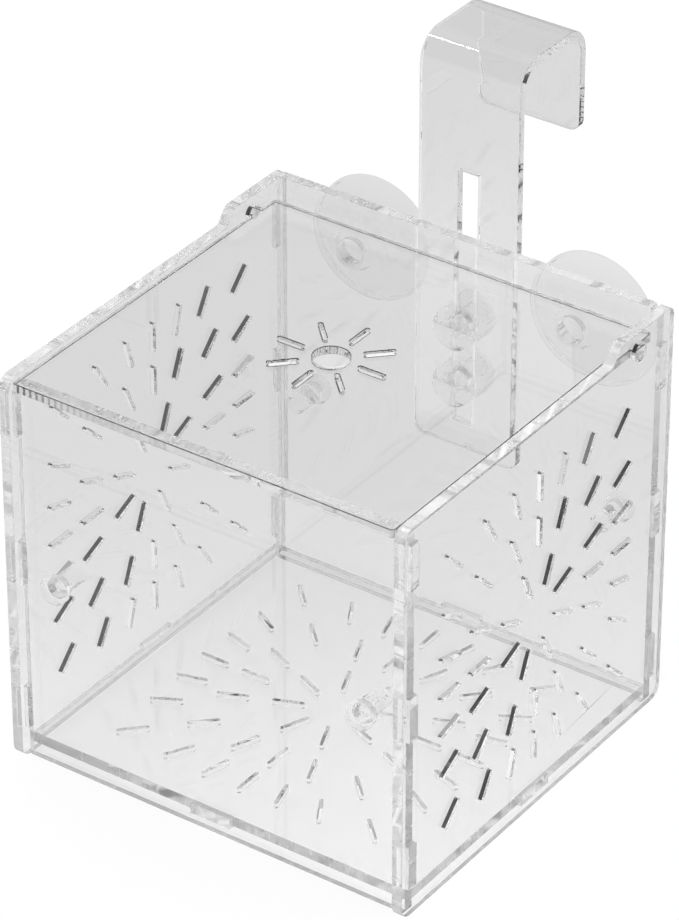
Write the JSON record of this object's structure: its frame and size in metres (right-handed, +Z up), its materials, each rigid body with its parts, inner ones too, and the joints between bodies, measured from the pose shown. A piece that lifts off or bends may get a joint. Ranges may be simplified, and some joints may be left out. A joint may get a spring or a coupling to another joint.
{
  "type": "fish breeding box",
  "caption": "Clear sheet box with radial water slots, a hinged lid, suction cups and a height-adjustable hanger strip that hooks over a tank's glass.",
  "frame": {"origin": "on the base plane, at the middle of the whole width and depth, hanger included", "axes": "+X to the box's right seen from the front, +Y from the front wall to the hanger, +Z up"},
  "size_m": [0.1, 0.1208, 0.1425],
  "materials": {
    "clear_sheet": "clear polished",
    "lid_sheet": "clear polished",
    "hanger_sheet": "clear polished",
    "clear_fastener": "clear moulded",
    "soft_cup": "clear soft"
  },
  "bodies": {
    "box": {"front_panel": "clear_sheet", "back_panel": "clear_sheet", "left_panel": "clear_sheet", "right_panel": "clear_sheet", "floor_panel": "clear_sheet", "upper_clamp_screw": "clear_fastener", "lower_clamp_screw": "clear_fastener", "left_suction_cup": "soft_cup", "right_suction_cup": "soft_cup", "left_front_peg": "clear_fastener", "right_front_peg": "clear_fastener", "left_back_peg": "clear_fastener", "right_back_peg": "clear_fastener"},
    "lid": {"lid": "lid_sheet"},
    "hanger": {"hanger_strip": "hanger_sheet"},
    "upper_nut": {"upper_clamp_nut": "clear_fastener"},
    "lower_nut": {"lower_clamp_nut": "clear_fastener"}
  },
  "joints": [
    {"name": "lid_hinge", "type": "hinge", "parent": "box", "child": "lid", "pos_m": [0, 0.02495, 0.093], "axis": [-1, 0, 0], "range_deg": [0, 98]},
    {"name": "hanger_slide", "type": "slide", "parent": "box", "child": "hanger", "axis": [0, 0, 1], "range_m": [-0.0341, 0.0087]},
    {"name": "upper_nut_turn", "type": "hinge", "parent": "box", "child": "upper_nut", "pos_m": [0, 0.0393, 0.077], "axis": [0, 1, 0], "range_deg": [0, 360]},
    {"name": "lower_nut_turn", "type": "hinge", "parent": "box", "child": "lower_nut", "pos_m": [0, 0.0393, 0.063], "axis": [0, 1, 0], "range_deg": [0, 360]}
  ]
}
